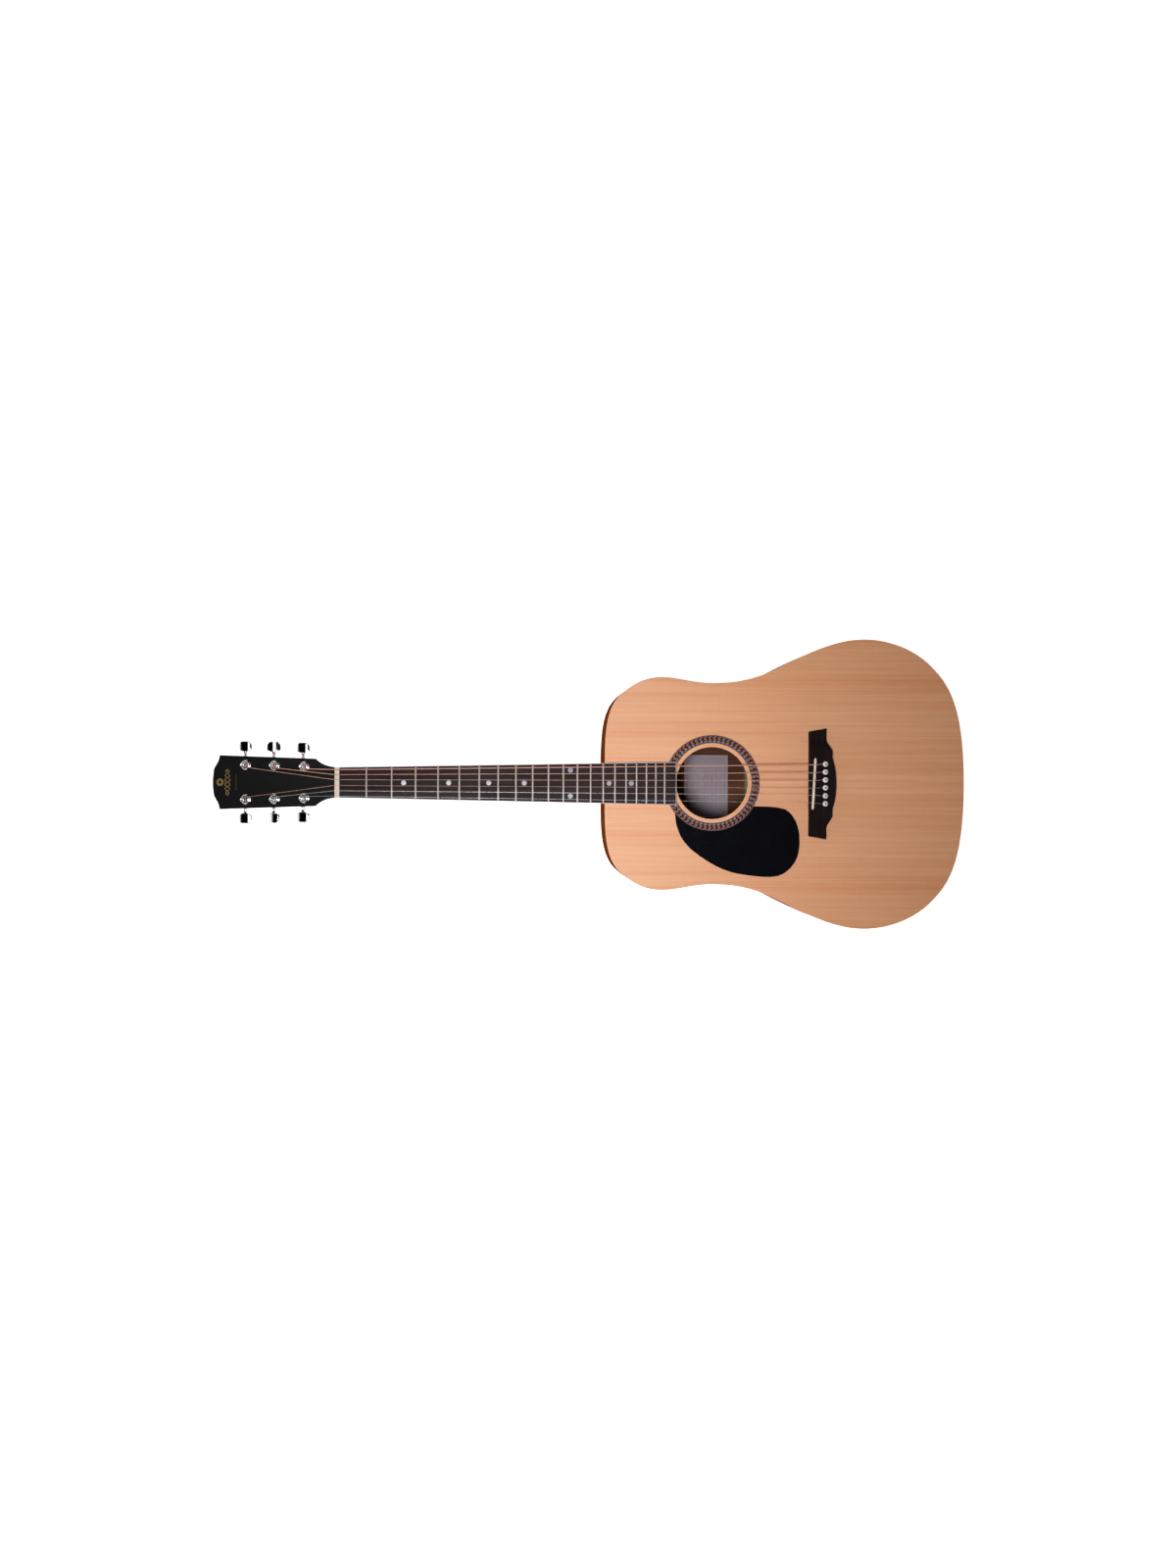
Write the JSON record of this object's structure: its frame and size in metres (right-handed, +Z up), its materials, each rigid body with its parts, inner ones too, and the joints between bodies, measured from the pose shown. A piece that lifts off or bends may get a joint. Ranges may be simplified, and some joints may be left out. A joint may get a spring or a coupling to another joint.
{
  "type": "acoustic guitar",
  "caption": "Left-handed steel-string dreadnought guitar with hollow braced body, bound fretboard, pinned bridge, adjustable truss rod and geared tuners that turn their string posts.",
  "frame": {"origin": "centre of the bounding box at its bottom, on the plane that the flat back rests on", "axes": "+X from the head towards the tail, +Y to the bass side, +Z up out of the soundboard; the body is deeper at the tail, so the soundboard slopes 2.28 degrees"},
  "size_m": [1.0464, 0.4026, 0.1253],
  "materials": {
    "spruce_top": "satin",
    "mahogany": "satin",
    "rosewood": "satin",
    "bracing": "matte",
    "nut_and_saddle": "satin",
    "pins": "gloss",
    "rosette": "satin",
    "scratch_plate": "gloss",
    "black_face": "satin",
    "chrome": "polished",
    "steel": "satin",
    "plain_string": "polished",
    "wound_string": "satin"
  },
  "bodies": {
    "guitar": {"soundboard": "spruce_top", "rosette": "rosette", "back": "mahogany", "side_bass": "mahogany", "side_treble": "mahogany", "neck_block": "mahogany", "tail_block": "mahogany", "x_brace_1": "bracing", "x_brace_2": "bracing", "upper_brace": "bracing", "bridge_plate": "mahogany", "back_brace_1": "bracing", "back_brace_2": "bracing", "back_brace_3": "bracing", "back_brace_4": "bracing", "scratch_plate": "scratch_plate", "bridge": "rosewood", "saddle": "nut_and_saddle", "fretboard": "rosewood", "nut": "nut_and_saddle", "neck": "mahogany", "headplate": "black_face", "truss_rod": "steel", "tuner_e_low_bushing": "chrome", "tuner_a_bushing": "chrome", "tuner_d_bushing": "chrome", "tuner_g_bushing": "chrome", "tuner_b_bushing": "chrome", "tuner_e_high_bushing": "chrome", "tuner_e_low_housing": "chrome", "tuner_a_housing": "chrome", "tuner_d_housing": "chrome", "tuner_g_housing": "chrome", "tuner_b_housing": "chrome", "tuner_e_high_housing": "chrome", "string_e_low": "wound_string", "string_a": "wound_string", "string_d": "wound_string", "string_g": "wound_string", "string_b": "plain_string", "string_e_high": "plain_string"},
    "button_e_low": {"tuner_e_low_button": "chrome"},
    "post_e_low": {"tuner_e_low_post": "chrome"},
    "button_a": {"tuner_a_button": "chrome"},
    "post_a": {"tuner_a_post": "chrome"},
    "button_d": {"tuner_d_button": "chrome"},
    "post_d": {"tuner_d_post": "chrome"},
    "button_g": {"tuner_g_button": "chrome"},
    "post_g": {"tuner_g_post": "chrome"},
    "button_b": {"tuner_b_button": "chrome"},
    "post_b": {"tuner_b_post": "chrome"},
    "button_e_high": {"tuner_e_high_button": "chrome"},
    "post_e_high": {"tuner_e_high_post": "chrome"},
    "pin_e_low": {"bridge_pin_e_low": "pins"},
    "pin_a": {"bridge_pin_a": "pins"},
    "pin_d": {"bridge_pin_d": "pins"},
    "pin_g": {"bridge_pin_g": "pins"},
    "pin_b": {"bridge_pin_b": "pins"},
    "pin_e_high": {"bridge_pin_e_high": "pins"},
    "truss_nut": {"truss_rod_nut": "steel"}
  },
  "joints": [
    {"name": "tune_e_low", "type": "hinge", "parent": "guitar", "child": "button_e_low", "pos_m": [-0.39807, 0.0217, 0.04836], "axis": [0, 1, 0], "continuous": true},
    {"name": "wind_e_low", "type": "hinge", "parent": "guitar", "child": "post_e_low", "pos_m": [-0.3944, 0.0217, 0.07288], "axis": [-0.2804, 0, 0.9599], "continuous": true},
    {"name": "tune_a", "type": "hinge", "parent": "guitar", "child": "button_a", "pos_m": [-0.43925, 0.0231, 0.03634], "axis": [0, 1, 0], "continuous": true},
    {"name": "wind_a", "type": "hinge", "parent": "guitar", "child": "post_a", "pos_m": [-0.43558, 0.0231, 0.06085], "axis": [-0.2804, 0, 0.9599], "continuous": true},
    {"name": "tune_d", "type": "hinge", "parent": "guitar", "child": "button_d", "pos_m": [-0.47947, 0.0238, 0.02459], "axis": [0, 1, 0], "continuous": true},
    {"name": "wind_d", "type": "hinge", "parent": "guitar", "child": "post_d", "pos_m": [-0.4758, 0.0238, 0.0491], "axis": [-0.2804, 0, 0.9599], "continuous": true},
    {"name": "tune_g", "type": "hinge", "parent": "guitar", "child": "button_g", "pos_m": [-0.47947, -0.0238, 0.02459], "axis": [0, -1, 0], "continuous": true},
    {"name": "wind_g", "type": "hinge", "parent": "guitar", "child": "post_g", "pos_m": [-0.4758, -0.0238, 0.0491], "axis": [-0.2804, 0, 0.9599], "continuous": true},
    {"name": "tune_b", "type": "hinge", "parent": "guitar", "child": "button_b", "pos_m": [-0.43925, -0.0231, 0.03634], "axis": [0, -1, 0], "continuous": true},
    {"name": "wind_b", "type": "hinge", "parent": "guitar", "child": "post_b", "pos_m": [-0.43558, -0.0231, 0.06085], "axis": [-0.2804, 0, 0.9599], "continuous": true},
    {"name": "tune_e_high", "type": "hinge", "parent": "guitar", "child": "button_e_high", "pos_m": [-0.39807, -0.0217, 0.04836], "axis": [0, -1, 0], "continuous": true},
    {"name": "wind_e_high", "type": "hinge", "parent": "guitar", "child": "post_e_high", "pos_m": [-0.3944, -0.0217, 0.07288], "axis": [-0.2804, 0, 0.9599], "continuous": true},
    {"name": "pull_pin_e_low", "type": "slide", "parent": "guitar", "child": "pin_e_low", "axis": [-0.0398, 0, 0.9992], "range_m": [0, 0.03]},
    {"name": "pull_pin_a", "type": "slide", "parent": "guitar", "child": "pin_a", "axis": [-0.0398, 0, 0.9992], "range_m": [0, 0.03]},
    {"name": "pull_pin_d", "type": "slide", "parent": "guitar", "child": "pin_d", "axis": [-0.0398, 0, 0.9992], "range_m": [0, 0.03]},
    {"name": "pull_pin_g", "type": "slide", "parent": "guitar", "child": "pin_g", "axis": [-0.0398, 0, 0.9992], "range_m": [0, 0.03]},
    {"name": "pull_pin_b", "type": "slide", "parent": "guitar", "child": "pin_b", "axis": [-0.0398, 0, 0.9992], "range_m": [0, 0.03]},
    {"name": "pull_pin_e_high", "type": "slide", "parent": "guitar", "child": "pin_e_high", "axis": [-0.0398, 0, 0.9992], "range_m": [0, 0.03]},
    {"name": "adjust_neck", "type": "hinge", "parent": "guitar", "child": "truss_nut", "pos_m": [0.07147, 0, 0.09267], "axis": [0.9992, 0, 0.0398], "range_deg": [-360, 360]}
  ],
  "couplings": [
    {"joint": "wind_e_low", "follows": "tune_e_low", "ratio": 0.071429},
    {"joint": "wind_a", "follows": "tune_a", "ratio": 0.071429},
    {"joint": "wind_d", "follows": "tune_d", "ratio": 0.071429},
    {"joint": "wind_g", "follows": "tune_g", "ratio": -0.071429},
    {"joint": "wind_b", "follows": "tune_b", "ratio": -0.071429},
    {"joint": "wind_e_high", "follows": "tune_e_high", "ratio": -0.071429}
  ]
}
